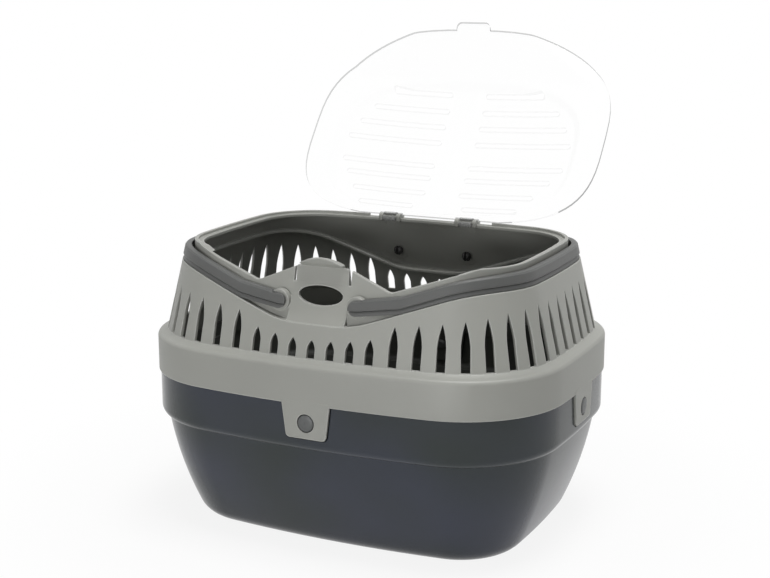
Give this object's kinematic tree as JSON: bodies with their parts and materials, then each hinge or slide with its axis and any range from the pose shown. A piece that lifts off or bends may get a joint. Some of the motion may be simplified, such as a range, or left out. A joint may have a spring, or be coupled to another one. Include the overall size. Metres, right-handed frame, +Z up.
{
  "type": "small-animal carrier",
  "caption": "Plastic pet keeper: dark tub, slotted roof frame that locks on, clear domed lid on a snap hinge with a latch tongue, and folding carry handles.",
  "frame": {"origin": "centre of the base's flat underside", "axes": "+X to the right along the length, -Y to the front with the latch, +Z up"},
  "size_m": [0.3016, 0.2834, 0.3394],
  "materials": {
    "tub_plastic": "moulded, glossy dark blue-grey",
    "shell_plastic": "moulded, satin taupe-grey",
    "clear_plastic": "clear, polished",
    "handle_plastic": "moulded, satin dark grey",
    "button_plastic": "moulded, satin mid grey"
  },
  "bodies": {
    "body": {"base_tub": "tub_plastic", "top_shell": "shell_plastic"},
    "lid": {"lid": "clear_plastic"},
    "handle_left": {"handle_left": "handle_plastic"},
    "handle_right": {"handle_right": "handle_plastic"},
    "lock_button_front": {"lock_button_front": "button_plastic"},
    "lock_button_back": {"lock_button_back": "button_plastic"},
    "lock_button_left": {"lock_button_left": "button_plastic"},
    "lock_button_right": {"lock_button_right": "button_plastic"}
  },
  "joints": [
    {"name": "lid_hinge", "type": "hinge", "parent": "body", "child": "lid", "pos_m": [0, 0.08, 0.1976], "axis": [1, 0, 0], "range_deg": [0, 129]},
    {"name": "handle_left_hinge", "type": "hinge", "parent": "body", "child": "handle_left", "pos_m": [-0.028, 0, 0.1704], "axis": [0, 1, 0], "range_deg": [0, 11]},
    {"name": "handle_right_hinge", "type": "hinge", "parent": "body", "child": "handle_right", "pos_m": [0.028, 0, 0.1704], "axis": [0, -1, 0], "range_deg": [0, 11]},
    {"name": "lock_button_front_press", "type": "slide", "parent": "body", "child": "lock_button_front", "axis": [0, 1, 0], "range_m": [0, 0.0024], "stiffness_N_per_m": 300, "springref_m": -0.001},
    {"name": "lock_button_back_press", "type": "slide", "parent": "body", "child": "lock_button_back", "axis": [0, -1, 0], "range_m": [0, 0.0024], "stiffness_N_per_m": 300, "springref_m": -0.001},
    {"name": "lock_button_left_press", "type": "slide", "parent": "body", "child": "lock_button_left", "axis": [1, 0, 0], "range_m": [0, 0.0024], "stiffness_N_per_m": 300, "springref_m": -0.001},
    {"name": "lock_button_right_press", "type": "slide", "parent": "body", "child": "lock_button_right", "axis": [-1, 0, 0], "range_m": [0, 0.0024], "stiffness_N_per_m": 300, "springref_m": -0.001}
  ]
}
